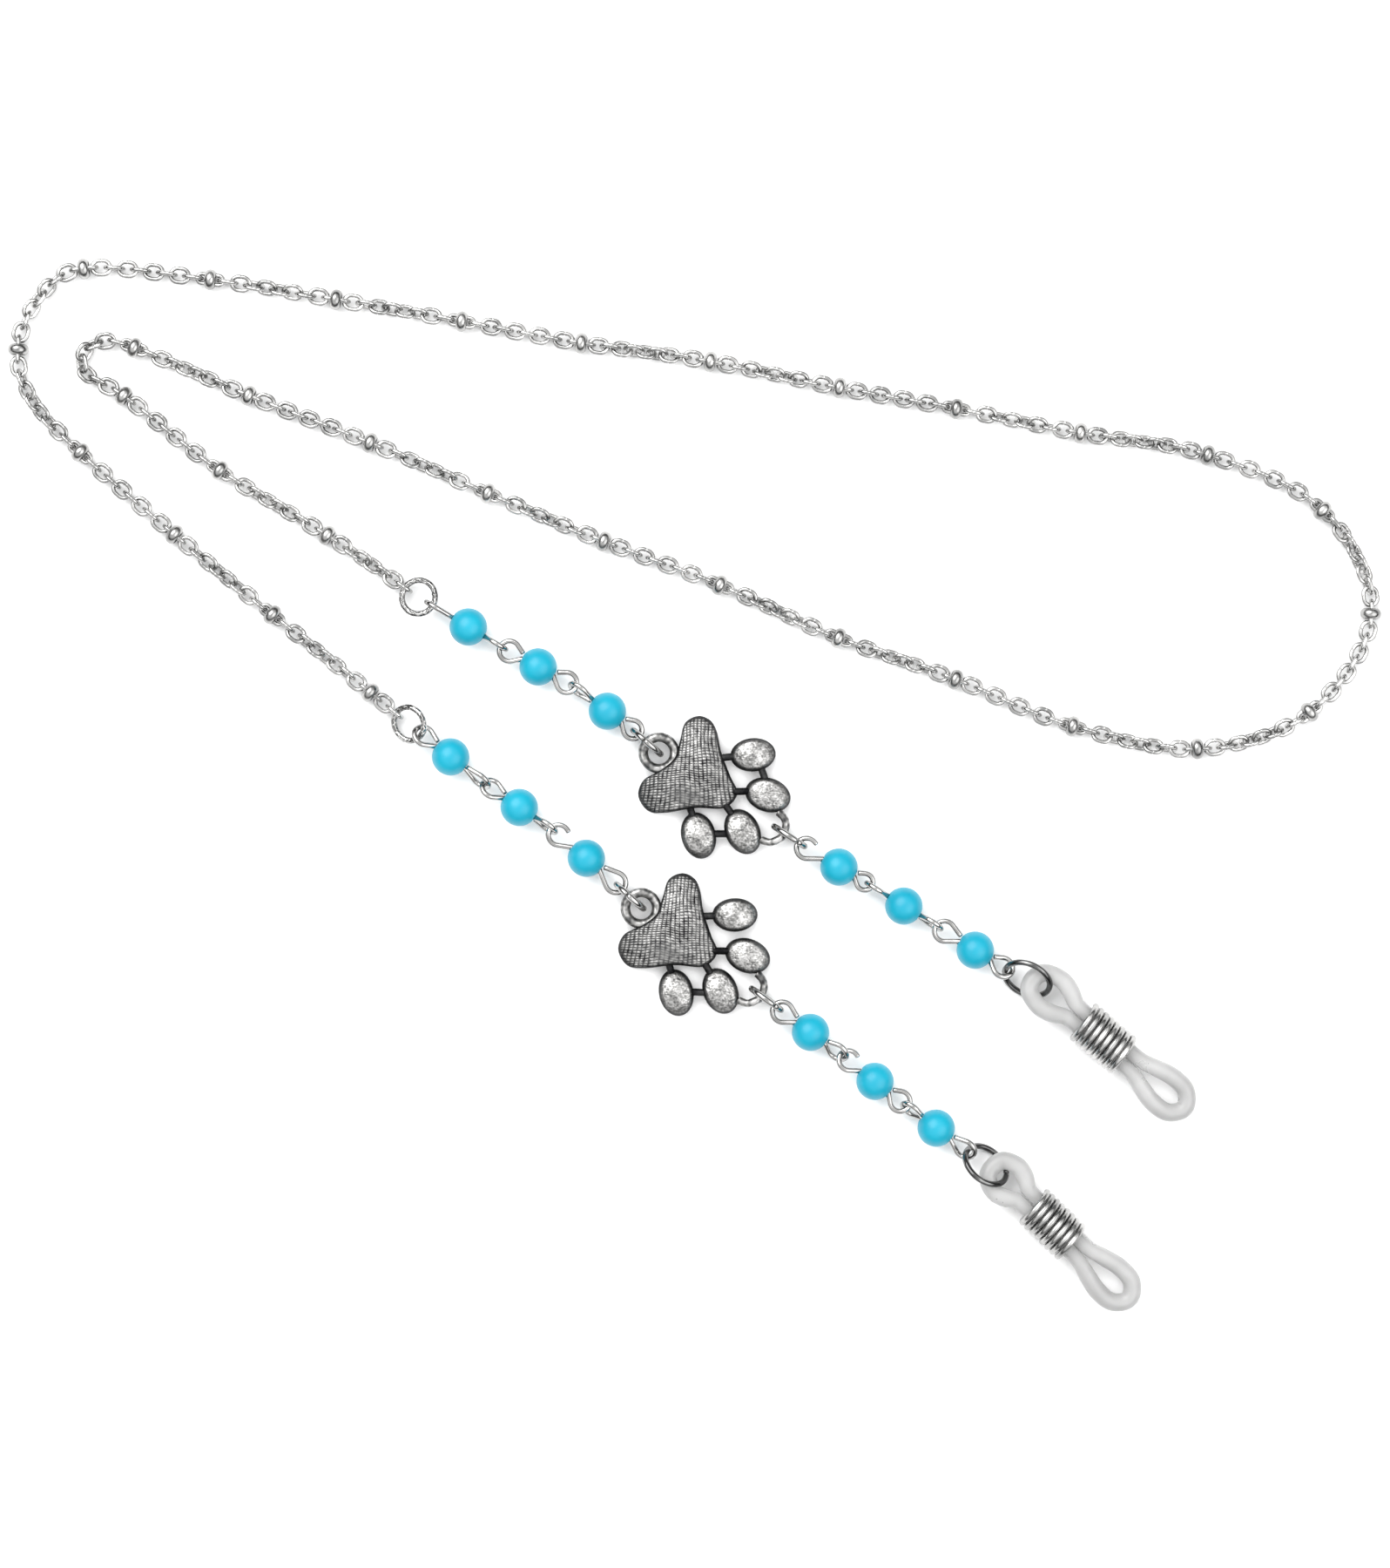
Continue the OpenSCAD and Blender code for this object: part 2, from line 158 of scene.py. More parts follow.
def lathe(profile, steps):
    """A closed profile of (distance from the X axis, place along it), turned about X."""
    profile = np.asarray(profile, float)
    turn = np.linspace(0, 2 * np.pi, steps, endpoint=False)
    r, x = profile[:, 0], profile[:, 1]
    verts = np.stack([
        np.broadcast_to(x, (steps, len(x))),
        np.cos(turn)[:, None] * r,
        np.sin(turn)[:, None] * r,
    ], axis=2).reshape(-1, 3)
    return verts, grid_faces(steps, len(profile), True, True), np.ones(len(verts))


def smooth_curve(rows, steps, closed):
    """The curve that part.scad draws through the same rows of numbers."""
    rows = np.asarray(rows, float)
    n = len(rows)
    t = np.linspace(0, 1, steps, endpoint=False)[:, None]
    out = []
    for i in range(n if closed else n - 1):
        if closed:
            a, b, c, d = (rows[(i + k) % n] for k in (-1, 0, 1, 2))
        else:
            a, b, c, d = (rows[min(max(i + k, 0), n - 1)] for k in (-1, 0, 1, 2))
        out.append(0.5 * (2 * b + (c - a) * t + (2 * a - 5 * b + 4 * c - d) * t ** 2
                          + (3 * b - a - 3 * c + d) * t ** 3))
    if not closed:
        out.append(rows[-1:])
    return np.concatenate(out)


# The frame's own places.

def welded(cad_node):
    """The CAD node's vertices in millimetres, as one array for each of its separate solids."""
    mesh = bmesh.new()
    mesh.from_mesh(frame["nodes"][cad_node].data)
    same_place = 1e-7
    bmesh.ops.remove_doubles(mesh, verts=mesh.verts, dist=same_place)
    groups, seen = [], set()
    for start in mesh.verts:
        if start in seen:
            continue
        group, stack = [], [start]
        seen.add(start)
        while stack:
            vert = stack.pop()
            group.append(np.array(vert.co) / MM)
            for edge in vert.link_edges:
                other = edge.other_vert(vert)
                if other not in seen:
                    seen.add(other)
                    stack.append(other)
        groups.append(np.array(group))
    mesh.free()
    return groups


def main_axes(points):
    """The middle of a solid, and its directions and its sizes along them, longest first."""
    _, vectors = np.linalg.eigh(np.cov((points - points.mean(0)).T))
    long, wide, thin = vectors[:, 2], vectors[:, 1], vectors[:, 0]
    extents = [np.ptp(points @ axis) for axis in (long, wide, thin)]
    centre = sum((points @ axis).min() * axis / 2 + (points @ axis).max() * axis / 2
                 for axis in (long, wide, thin))
    return centre, (long, wide, thin), extents


def ring_place(cad_node):
    """The middle of a ring, a level direction in its plane, the direction square to it and its
    normal, with the radius to the middle of its wire and the radius of its wire."""
    points = welded(cad_node)[0]
    centre, (_, _, normal), extents = main_axes(points)
    if normal[2] < 0:
        normal = -normal
    level = unit(np.cross(UP, normal))
    wire = extents[2] / 2
    outer = np.linalg.norm(points - centre, axis=1).max()
    return centre, (level, np.cross(normal, level), normal), outer - wire, wire


# Materials. A coordinate unit is a metre, so a scale of 1000 gives details of a millimetre.

MIX_FIRST, MIX_SECOND, MIX_RESULT = 6, 7, 2  # the colour sockets of a Mix node


def new_material(name):
    mat = bpy.data.materials.new(name)
    mat.use_nodes = True
    return mat, mat.node_tree, mat.node_tree.nodes["Principled BSDF"]


def node(tree, kind, **settings):
    """Adds a shader node. Each setting is an input's value or a property of the node."""
    made = tree.nodes.new(kind)
    for key, value in settings.items():
        if key in made.inputs:
            made.inputs[key].default_value = value
        else:
            setattr(made, key, value)
    return made


def noise_value(tree, scale, detail=3.0, roughness=0.55):
    place = node(tree, "ShaderNodeTexCoord")
    texture = node(tree, "ShaderNodeTexNoise", Scale=scale, Detail=detail, Roughness=roughness)
    tree.links.new(place.outputs["Object"], texture.inputs["Vector"])
    return texture.outputs["Fac"]


def ramp(tree, value, stops):
    """A colour for each value, from stops of (value, colour)."""
    made = node(tree, "ShaderNodeValToRGB")
    elements = made.color_ramp.elements
    while len(elements) < len(stops):
        elements.new(0.5)
    for element, (place, colour) in zip(elements, stops):
        element.position = place
        element.color = (*colour, 1.0)
    tree.links.new(value, made.inputs["Fac"])
    return made.outputs["Color"]


def mapped(tree, value, low, high, start=0.3, end=0.7):
    """value, moved from the range start to end into the range low to high."""
    made = node(tree, "ShaderNodeMapRange")
    made.inputs["From Min"].default_value = start
    made.inputs["From Max"].default_value = end
    made.inputs["To Min"].default_value = low
    made.inputs["To Max"].default_value = high
    tree.links.new(value, made.inputs["Value"])
    return made.outputs["Result"]


def bumped(tree, shader, height, strength, distance):
    """Gives the shader's surface the relief of height, which is up to distance metres deep."""
    made = node(tree, "ShaderNodeBump", Strength=strength, Distance=distance)
    tree.links.new(height, made.inputs["Height"])
    tree.links.new(made.outputs["Normal"], shader.inputs["Normal"])


def worn_share(tree):
    """The shape's own wear, vertex by vertex."""
    return node(tree, "ShaderNodeAttribute", attribute_name="wear").outputs["Fac"]


def polished_metal(name, dark, bright, smooth, rough, bump, marked=False):
    """Plated wire: small changes of tone from dark to bright and of roughness from smooth to
    rough, and fine drawing marks. Where it is marked, it is black where it isn't worn."""
    mat, tree, shader = new_material(name)
    shader.inputs["Metallic"].default_value = 1.0
    colour = ramp(tree, noise_value(tree, scale=420.0), [(0.35, dark), (0.62, bright)])
    if marked:
        mix = node(tree, "ShaderNodeMix", data_type="RGBA")
        mix.inputs[MIX_FIRST].default_value = (0.01, 0.01, 0.01, 1.0)
        tree.links.new(worn_share(tree), mix.inputs["Factor"])
        tree.links.new(colour, mix.inputs[MIX_SECOND])
        colour = mix.outputs[MIX_RESULT]
    tree.links.new(colour, shader.inputs["Base Color"])
    gloss = noise_value(tree, scale=1700.0, detail=4.0)
    tree.links.new(mapped(tree, gloss, low=smooth, high=rough), shader.inputs["Roughness"])
    drawn = noise_value(tree, scale=3200.0, detail=2.0)
    bumped(tree, shader, drawn, strength=bump, distance=0.00004)
    return mat


def turquoise():
    """Dyed stone: faint clouds of blue under a thin glaze."""
    mat, tree, shader = new_material("turquoise")
    clouds = noise_value(tree, scale=260.0, detail=2.0)
    tree.links.new(
        ramp(tree, clouds, [(0.3, (0.001, 0.28, 0.40)), (0.7, (0.003, 0.33, 0.46))]),
        shader.inputs["Base Color"])
    shader.inputs["Roughness"].default_value = 0.42
    shader.inputs["Specular IOR Level"].default_value = 0.35
    shader.inputs["Coat Weight"].default_value = 0.15
    shader.inputs["Coat Roughness"].default_value = 0.18
    grain = noise_value(tree, scale=900.0, detail=3.0)
    bumped(tree, shader, grain, strength=0.08, distance=0.00005)
    return mat


def antiqued():
    """Cast pewter: black in its recesses, and stained grey to bright as it is worn."""
    mat, tree, shader = new_material("antique_pewter")
    shader.inputs["Metallic"].default_value = 1.0
    stain = noise_value(tree, scale=650.0, detail=5.0, roughness=0.65)
    mix = node(tree, "ShaderNodeMath", operation="MULTIPLY_ADD")
    stain_in, stain_amount, wear_in = mix.inputs
    tree.links.new(stain, stain_in)
    stain_amount.default_value = 0.55
    tree.links.new(worn_share(tree), wear_in)
    tone = mix.outputs[0]
    colour = ramp(tree, tone, [
        (0.24, (0.008, 0.008, 0.009)), (0.55, (0.09, 0.09, 0.09)),
        (0.9, (0.29, 0.287, 0.28)), (1.0, (0.42, 0.415, 0.41))])
    tree.links.new(colour, shader.inputs["Base Color"])
    roughness = mapped(tree, tone, low=0.55, high=0.34, start=0.3, end=1.1)
    tree.links.new(roughness, shader.inputs["Roughness"])
    cast = noise_value(tree, scale=2600.0, detail=4.0, roughness=0.6)
    bumped(tree, shader, cast, strength=0.35, distance=0.00008)
    return mat


def silicone():
    """Milky cord: clouded along its run, and half clear."""
    mat, tree, shader = new_material("clear_rubber")
    clouds = noise_value(tree, scale=240.0, detail=2.0)
    tree.links.new(
        ramp(tree, clouds, [(0.35, (0.50, 0.50, 0.497)), (0.65, (0.60, 0.60, 0.597))]),
        shader.inputs["Base Color"])
    shader.inputs["Transmission Weight"].default_value = 0.4
    shader.inputs["IOR"].default_value = 1.42
    shader.inputs["Subsurface Weight"].default_value = 0.3
    shader.inputs["Subsurface Radius"].default_value = (0.002, 0.002, 0.002)
    roughness = mapped(tree, noise_value(tree, scale=300.0), low=0.26, high=0.38)
    tree.links.new(roughness, shader.inputs["Roughness"])
    waves = noise_value(tree, scale=350.0, detail=2.0)
    bumped(tree, shader, waves, strength=0.04, distance=0.00005)
    return mat


CHAIN_SILVER = polished_metal(
    "chain_silver", dark=(0.30, 0.30, 0.297), bright=(0.50, 0.497, 0.49),
    smooth=0.12, rough=0.24, bump=0.06)
SATELLITE_SILVER = polished_metal(
    "satellite_silver", dark=(0.24, 0.24, 0.237), bright=(0.42, 0.417, 0.41),
    smooth=0.20, rough=0.34, bump=0.12)
HAMMERED_SILVER = polished_metal(
    "hammered_silver", dark=(0.28, 0.28, 0.277), bright=(0.50, 0.497, 0.49),
    smooth=0.12, rough=0.26, bump=0.12, marked=True)
PIN_SILVER = polished_metal(
    "pin_silver", dark=(0.32, 0.318, 0.315), bright=(0.48, 0.477, 0.47),
    smooth=0.10, rough=0.20, bump=0.05)
RING_SILVER = polished_metal(
    "ring_silver", dark=(0.25, 0.25, 0.247), bright=(0.42, 0.417, 0.41),
    smooth=0.12, rough=0.24, bump=0.06)
DARK_STEEL = polished_metal(
    "dark_steel", dark=(0.09, 0.09, 0.09), bright=(0.24, 0.24, 0.237),
    smooth=0.12, rough=0.26, bump=0.06)
COIL_SILVER = polished_metal(
    "coil_silver", dark=(0.28, 0.28, 0.277), bright=(0.48, 0.477, 0.47),
    smooth=0.20, rough=0.36, bump=0.08)
TURQUOISE = turquoise()
PEWTER = antiqued()
RUBBER = silicone()


def piece(name, shape, material, cad_node):
    """Makes one visible piece that stands for a CAD node and moves with its body."""
    verts, faces, wear = shape
    mesh = bpy.data.meshes.new(name)
    mesh.from_pydata((verts * MM).tolist(), [], faces)
    mesh.validate()
    edit = bmesh.new()
    edit.from_mesh(mesh)
    bmesh.ops.recalc_face_normals(edit, faces=edit.faces)
    edit.to_mesh(mesh)
    edit.free()
    mesh.attributes.new("wear", "FLOAT", "POINT").data.foreach_set(
        "value", wear.astype(np.float32))
    mesh.polygons.foreach_set("use_smooth", [True] * len(mesh.polygons))
    mesh.materials.append(material)
    obj = bpy.data.objects.new(name, mesh)
    bpy.context.scene.collection.objects.link(obj)
    body = next(b for b, nodes in frame["record"]["behaviour"]["bodies"].items()
                if cad_node in nodes)
    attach(obj, body)
    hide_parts(cad_node)


# The cable chain and its satellite beads.

SHORTEST_CARRIER = 3.0  # the links that satellite beads ride on are longer than this


def wire_link(length, width, wire):
    """One stadium-shaped link, lying flat and long along X, pinched where its ends meet."""
    bend = (width - wire) / 2
    straight = (length - width) / 2
    arc = np.radians(np.linspace(-90, 90, 15))
    right = np.stack([straight + bend * np.cos(arc), bend * np.sin(arc)], 1)
    left = -right
    side = np.linspace(straight, -straight, 9)[1:-1]
    top = np.stack([side, np.full(len(side), bend)], 1)
    flat = np.concatenate([right, top, left, -top])
    path = np.column_stack([flat, np.zeros(len(flat))])
    radius = np.full(len(path), wire / 2)
    seam = len(right) + len(side) // 2
    radius[seam] *= 0.72
    return tube(path, radius[:, None], 12, UP, closed=True)


def chain_links(cad_node):
    """A run's links, each turned a little about its length."""
    shapes = []
    for points in welded(cad_node):
        centre, (long, wide, thin), (length, width, wire) = main_axes(points)
        turn = math.radians(random.uniform(-2.0, 2.0))
        wide = unit(wide * math.cos(turn) + thin * math.sin(turn))
        link = wire_link(length, width, wire)
        shapes.append(moved(link, centre, (long, wide, np.cross(long, wide))))
    return merged(shapes)


def satellite_profile(outer, half, bore):
    """A collar with a bulging outside, rounded lips and a straight bore."""
    bulge_radius = 0.62
    arc = np.radians(np.linspace(-62, 62, 15))
    along = 0.97 * half / math.sin(arc[-1])
    outside = [(outer - bulge_radius + bulge_radius * math.cos(a), along * math.sin(a))
               for a in arc]
    lip = 0.5 * (outside[-1][0] + bore)
    return outside + [(lip, half), (bore + 0.02, half * 0.96), (bore, half * 0.8), (bore, 0.0),
                      (bore, -half * 0.8), (bore + 0.02, -half * 0.96), (lip, -half)]


def satellite_beads(cad_node):
    """Each collar is threaded on the long link that passes through it."""
    chain_node = cad_node.replace("satellite_beads", "chain_links")
    links = [main_axes(points) for points in welded(chain_node)]
    carriers = [(centre, axes[0]) for centre, axes, extents in links
                if extents[0] > SHORTEST_CARRIER]
    shapes = []
    for points in welded(cad_node):
        middle = (points.min(0) + points.max(0)) / 2
        centre, along = min(carriers, key=lambda link: np.linalg.norm(link[0] - middle))
        off_axis = np.linalg.norm(np.cross(points - centre, along), axis=1)
        half = np.ptp(points @ along) / 2
        side = unit(np.cross(UP, along))
        bead = lathe(satellite_profile(off_axis.max(), half, off_axis.min()), 48)
        shapes.append(moved(bead, centre, (along, side, np.cross(along, side))))
    return merged(shapes)


# Beads on eye pins.

EYE_DEPTH = 1.2  # a pin's last stretch, which is all eye
OPEN_EYES = {("a4", -1): 0.75, ("b3", -1): 0.8, ("b5", -1): 0.9, ("a1", -1): 0.15}
BORE_RADIUS, BORE_LIP = 0.475, 0.1


def pin_axes(name):
    """The bead's middle and the pin's direction, from the joint that lets the bead spin."""
    spin = joints[f"bead_spin_{name}"]
    return np.array(spin["pos_m"]) / MM, unit(np.array(spin["axis"]))


def eye_facts(points, centre, along, end):
    """How far an eye reaches from the bead, its radius, its wire's radius and its direction."""
    reach = (points - centre) @ (end * along)
    far = points[reach > reach.max() - EYE_DEPTH] - centre
    far = far - np.outer(far @ along, along)
    _, vectors = np.linalg.eigh(far.T @ far)
    wide = vectors[:, 2]
    spread = np.abs(far @ wide).max()
    thick = np.abs(far @ np.cross(along, wide)).max()
    return reach.max() - thick, spread - thick, thick, wide


def leg_angle(start, middle, radius):
    """Where a straight leg from start meets the round of an eye, in radians from its far point."""
    away = math.hypot(middle - start[0], start[1])
    return (math.pi - math.atan2(abs(start[1]), middle - start[0])
            - math.acos(min(radius / away, 1.0)))


def bent_eye(reach, radius, shortened):
    """An eye's centre line in its own plane: out of the bead, straight to the round of the eye,
    round it and straight back to beside the bead. shortened is the share of the last leg that a
    loosely closed eye lacks."""
    mouth, cut_end = (2.1, 0.14), (2.2, -0.5)
    middle = reach - radius
    start = leg_angle(mouth, middle, radius)
    end = -leg_angle(cut_end, middle, radius)
    arc = np.linspace(start, end, 41)
    loop = np.stack([middle + radius * np.cos(arc), radius * np.sin(arc)], 1)
    core = smooth_curve([(0.0, 0.0), (1.3, 0.0), (1.8, 0.02), mouth], 3, False)
    share = np.linspace(0, 1, 6)[1:-1, None]
    out = np.array(mouth) + share * (loop[0] - mouth)
    last_leg = (1 - shortened) * (np.array(cut_end) - loop[-1])
    back = loop[-1] + share / share[-1] * last_leg
    return np.concatenate([core, out, loop, back])


def eye_pin(name):
    """A pin with an eye at each end. OPEN_EYES gives the share of the last leg that some lack."""
    points = welded(f"eye_pin_{name}")[0]
    centre, along = pin_axes(name)
    shapes = []
    for end in (-1, 1):
        reach, radius, wire, wide = eye_facts(points, centre, along, end)
        line = bent_eye(reach, radius, OPEN_EYES.get((name, end), 0.0))
        path = np.column_stack([line, np.zeros(len(line))])
        eye = cut_wire(path, wire, 14, UP)
        out = end * along
        shapes.append(moved(eye, centre, (out, wide, np.cross(out, wide))))
    return merged(shapes)


def bead(name):
    """A round bead with softened lips round its hole."""
    centre, along = pin_axes(name)
    low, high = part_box(f"bead_{name}")
    outer = (high.z - low.z) / 2 / MM
    bore, lip = BORE_RADIUS, BORE_LIP
    edge = math.asin((bore + lip) / outer)
    arc = np.linspace(edge, math.pi - edge, 45)
    outside = [(outer * math.sin(a), outer * math.cos(a)) for a in arc]
    mouth = outer * math.cos(edge)
    inside = [(bore + lip * 0.3, -mouth + lip * 0.12), (bore, -mouth + lip), (bore, 0.0),
              (bore, mouth - lip), (bore + lip * 0.3, mouth - lip * 0.12)]
    side = unit(np.cross(UP, along))
    return moved(lathe(outside + inside, 64), centre, (along, side, np.cross(along, side)))


# Rings.

HALF_GAP = 0.07
FLATS_ROUND_RING, FLATS_ROUND_WIRE = 26, 6


def wire_circle(radius, steps, start=0.0, sweep=360.0):
    """Points round a level circle or a part of one, with its angles in degrees."""
    turn = np.radians(start + np.linspace(0, sweep, steps, endpoint=sweep < 360))
    return np.stack([radius * np.cos(turn), radius * np.sin(turn), np.zeros(steps)], 1)


def jump_ring(cad_node, seam):
    """A round wire ring with the hairline gap where it was opened, at seam degrees."""
    centre, axes, radius, wire = ring_place(cad_node)
    gap = math.degrees(HALF_GAP / radius)
    path = wire_circle(radius, 90, seam + gap, 359.99 - 2 * gap)
    return moved(cut_wire(path, wire, 18, UP), centre, axes)


def hammered_flat(path, normal, spoke, facet, radius, wire, depth):
    """How far the wire reaches where one flat, which faces facet, cuts into it."""
    origin = radius * spoke + facet * wire * depth
    facing = normal @ facet
    height = ((origin - path) @ facet)[:, None]
    near = np.linalg.norm(path - radius * spoke, axis=1)[:, None] < 0.8
    least_facing, most_cut = 0.55, 0.8
    cut = np.where((facing > least_facing) & near,
                   height / np.maximum(facing, least_facing), wire)
    return np.maximum(cut, wire * most_cut)


def chisel_dash(around, turn, place, lean, slant, radius, wire):
    """1 on a short line across the skin of the ring's wire, and 0 off it."""
    along = (around - place + np.pi) % (2 * np.pi)
    along = (along - np.pi)[:, None] * radius
    across = (turn - lean - np.pi / FLATS_ROUND_WIRE + np.pi) % (2 * np.pi)
    across = (across - np.pi)[None, :] * wire
    run = along * math.cos(slant) + across * math.sin(slant)
    off = across * math.cos(slant) - along * math.sin(slant)
    return np.exp(-(off / 0.07) ** 2) * (1 - smoothstep(0.12, 0.26, np.abs(run)))


def hammered_ring(cad_node):
    """A ring whose wire has flats all over and short blackened chisel marks between them."""
    centre, axes, radius, wire = ring_place(cad_node)
    steps, sides = 300, 40
    path = wire_circle(radius, steps)
    around = np.linspace(0, 2 * np.pi, steps, endpoint=False)
    turn = np.linspace(0, 2 * np.pi, sides, endpoint=False)
    out = path / radius
    normal = (np.cos(turn)[None, :, None] * out[:, None, :]
              + np.sin(turn)[None, :, None] * UP[None, None, :])
    reach = np.full((steps, sides), wire)
    mark = np.zeros((steps, sides))
    for step in range(FLATS_ROUND_RING):
        for row in range(FLATS_ROUND_WIRE):
            stagger = 0.5 * (row % 2)
            place = 2 * np.pi * (step + stagger + random.uniform(-0.22, 0.22)) / FLATS_ROUND_RING
            lean = 2 * np.pi * (row + random.uniform(-0.2, 0.2)) / FLATS_ROUND_WIRE
            spoke = np.array([math.cos(place), math.sin(place), 0.0])
            facet = math.cos(lean) * spoke + math.sin(lean) * UP
            depth = random.uniform(0.84, 0.94)
            reach = np.minimum(
                reach, hammered_flat(path, normal, spoke, facet, radius, wire, depth))
            slant = random.uniform(-0.7, 0.7)
            mark = np.maximum(mark, chisel_dash(around, turn, place, lean, slant, radius, wire))
    mark_depth = 0.04
    reach = reach - mark_depth * mark
    verts = (path[:, None, :] + reach[:, :, None] * normal).reshape(-1, 3)
    shape = verts, grid_faces(steps, sides, True, True), 1 - mark.ravel()
    return moved(shape, centre, axes)


# The paw charm, in its own axes.

PAD_TOP = 7.9
PAD_OUTLINE = [
    (-1.6, PAD_TOP), (-3.1, 7.1), (-3.65, 5.2), (-4.3, 3.1), (-6.1, 1.6), (-7.9, 0.5),
    (-8.45, -1.3), (-7.3, -3.0), (-5.3, -3.2), (-1.9, -2.65), (1.4, -2.65), (2.9, -1.0),
    (2.1, 1.0), (1.1, 3.6), (0.55, 6.1), (-0.2, 7.4)]
PAD_MIDDLE = np.array([-2.2, 1.0])
# Each toe's place, heading in degrees, and half its length and width.
TOES = [(4.7, 3.45, 5, 2.6, 1.92), (6.4, -1.15, -17, 2.65, 1.95),
        (3.5, -5.35, -65, 2.7, 1.98), (-1.55, -5.8, -75, 2.7, 1.98)]
BARS = [((1.0, 3.1), (3.0, 3.3)), ((2.0, -0.8), (4.6, -0.7)), ((1.4, -2.1), (2.3, -3.4)),
        ((-2.6, -2.4), (-2.2, -3.6)), ((0.1, -5.6), (1.9, -5.6))]
TOE_TIE = ((5.6, 2.0), (6.1, 0.6))  # between two toes, on strand a's charm only
CHARM_TURN = {"a": 0.0, "b": -3.0}
PAD_CROWN, PAD_ROUND = 2.3, 15.0
TOE_CROWN, TOE_ROUND = 2.2, 3.8
CAST_MIDDLE = 1.05  # the height of the middles of the charm's bars and loops
RIB_PITCH, CROSS_PITCH = 0.40, 0.29


def ball_fall(radius, distance):
    """How far the top of a ball has dropped at a distance from its middle."""
    return radius - np.sqrt(radius ** 2 - distance ** 2)


def dome(outline, middle, crown, ball, relief, rings=60):
    """A cast lump over an outline that is seen whole from its middle. crown is its height in the
    middle, ball the radius of its top, and relief gives its surface detail and wear."""
    share = np.concatenate([np.linspace(0.02, 0.86, rings), np.linspace(0.875, 1.0, 12)])
    flat = middle + share[:, None, None] * (outline[None, :, :] - middle)
    width = np.linalg.norm(outline - middle, axis=1)[None, :]
    inset = (1 - share[:, None]) * width
    rounding = 0.55
    outward = 1 - np.clip(inset / rounding, 0, 1)
    drop = rounding * (1 - np.sqrt(np.clip(1 - outward ** 2, 0, 1)))
    distance = np.linalg.norm(flat - middle, axis=2)
    height, wear = relief(flat.reshape(-1, 2))
    fade = smoothstep(0.1, 0.5, inset)
    top = crown - ball_fall(ball, distance) - drop + height.reshape(drop.shape) * fade
    wear = wear.reshape(drop.shape) * smoothstep(0.05, 0.5, inset)
    rows, columns = flat.shape[:2]
    base_rows = [(1.0, 0.3), (0.97, 0.08), (0.9, 0.0)]
    verts = [np.dstack([flat, top]).reshape(-1, 3)]
    for scale, z in base_rows:
        ring = middle + scale * (outline - middle)
        verts.append(np.column_stack([ring, np.full(columns, z)]))
    verts = np.concatenate(verts + [np.array([[*middle, top[0].mean()], [*middle, 0.0]])])
    faces = grid_faces(rows + len(base_rows), columns, False, True)
    crown_point, base_point = len(verts) - 2, len(verts) - 1
    last = (rows + len(base_rows) - 1) * columns
    for k in range(columns):
        n = (k + 1) % columns
        faces.append((crown_point, k, n))
        faces.append((base_point, last + n, last + k))
    wear = np.concatenate([wear.ravel(), np.full(len(base_rows) * columns, 0.05),
                           [wear[0].mean(), 0.2]])
    return verts, faces, wear


def groove(x):
    """1 in the middle of each line, 0 between: lines lie at whole numbers."""
    off = np.abs(x - np.round(x))
    return np.exp(-(off / 0.17) ** 2)


def linen(p):
    """Cross-hatching like coarse cloth: ribs that fan out down the pad, and finer cross lines."""
    at = np.column_stack([p, np.zeros(len(p))])
    x, y = p[:, 0], p[:, 1]
    fan = (x + 1.6) / (1 + 0.035 * (PAD_TOP - y)) + 0.25 * ripple(at, 0.3)
    ribs = groove(fan / RIB_PITCH) * (0.75 + 0.4 * ripple(at + 71, 1.3))
    ticks = groove((y + 0.35 * ripple(at + 31, 0.4) - 0.05 * x) / CROSS_PITCH)
    patch = smoothstep(-0.45, 0.35, ripple(at + 53, 0.22))
    rubbed = np.exp(-((x + 3.0) / 2.6) ** 2 - ((y + 1.2) / 1.3) ** 2)
    rough = ripple(at + 7, 2.4)
    hatch = np.maximum(ribs, ticks * (0.6 + 0.4 * patch)) * (1 - 0.7 * rubbed)
    tone = 0.68 - 0.74 * hatch + 0.26 * rough - 0.22 * rubbed
    return -0.085 * hatch + 0.03 * rough * (1 - rubbed), tone


def mottled(p):
    """A cast surface with shallow dents and fine pits, dark where it is low."""
    at = np.column_stack([p, np.zeros(len(p))])
    dents = 0.5 * ripple(at, 0.9) + 0.6 * ripple(at + 17, 2.6)
    scratches = ripple(at * (1.0, 3.5, 1.0) + 41, 1.8)
    pits = ripple(at + 23, 5.5)
    return (0.035 * dents + 0.008 * scratches + 0.018 * pits,
            0.62 + 0.26 * dents + 0.2 * scratches + 0.3 * pits)


def charm_bar(ends):
    """A black bar between two of the charm's lumps."""
    a, b = (np.array([*end, CAST_MIDDLE]) for end in ends)
    path = a + np.linspace(0, 1, 9)[:, None] * (b - a)
    verts, faces, wear = tube(path, 0.42, 14, UP)
    return verts, faces, wear * 0.02


def grained(shape, amount, low, high):
    """Pushes a shape's points out and in by fine noise, by up to amount at 3 mm from the charm's
    middle, and sets its wear by the same noise."""
    verts, faces, _ = shape
    grain = ripple(verts, 2.4)
    side = verts - (0, 0, CAST_MIDDLE)
    return verts + amount * grain[:, None] * side / 3, faces, low + (high - low) * (0.5 + grain)


def cast_loop(loop, place, amount, low, high):
    """One of the charm's two loops, put at its place and grained."""
    verts, faces, wear = loop
    return grained((verts + (*place, CAST_MIDDLE), faces, wear), amount, low, high)


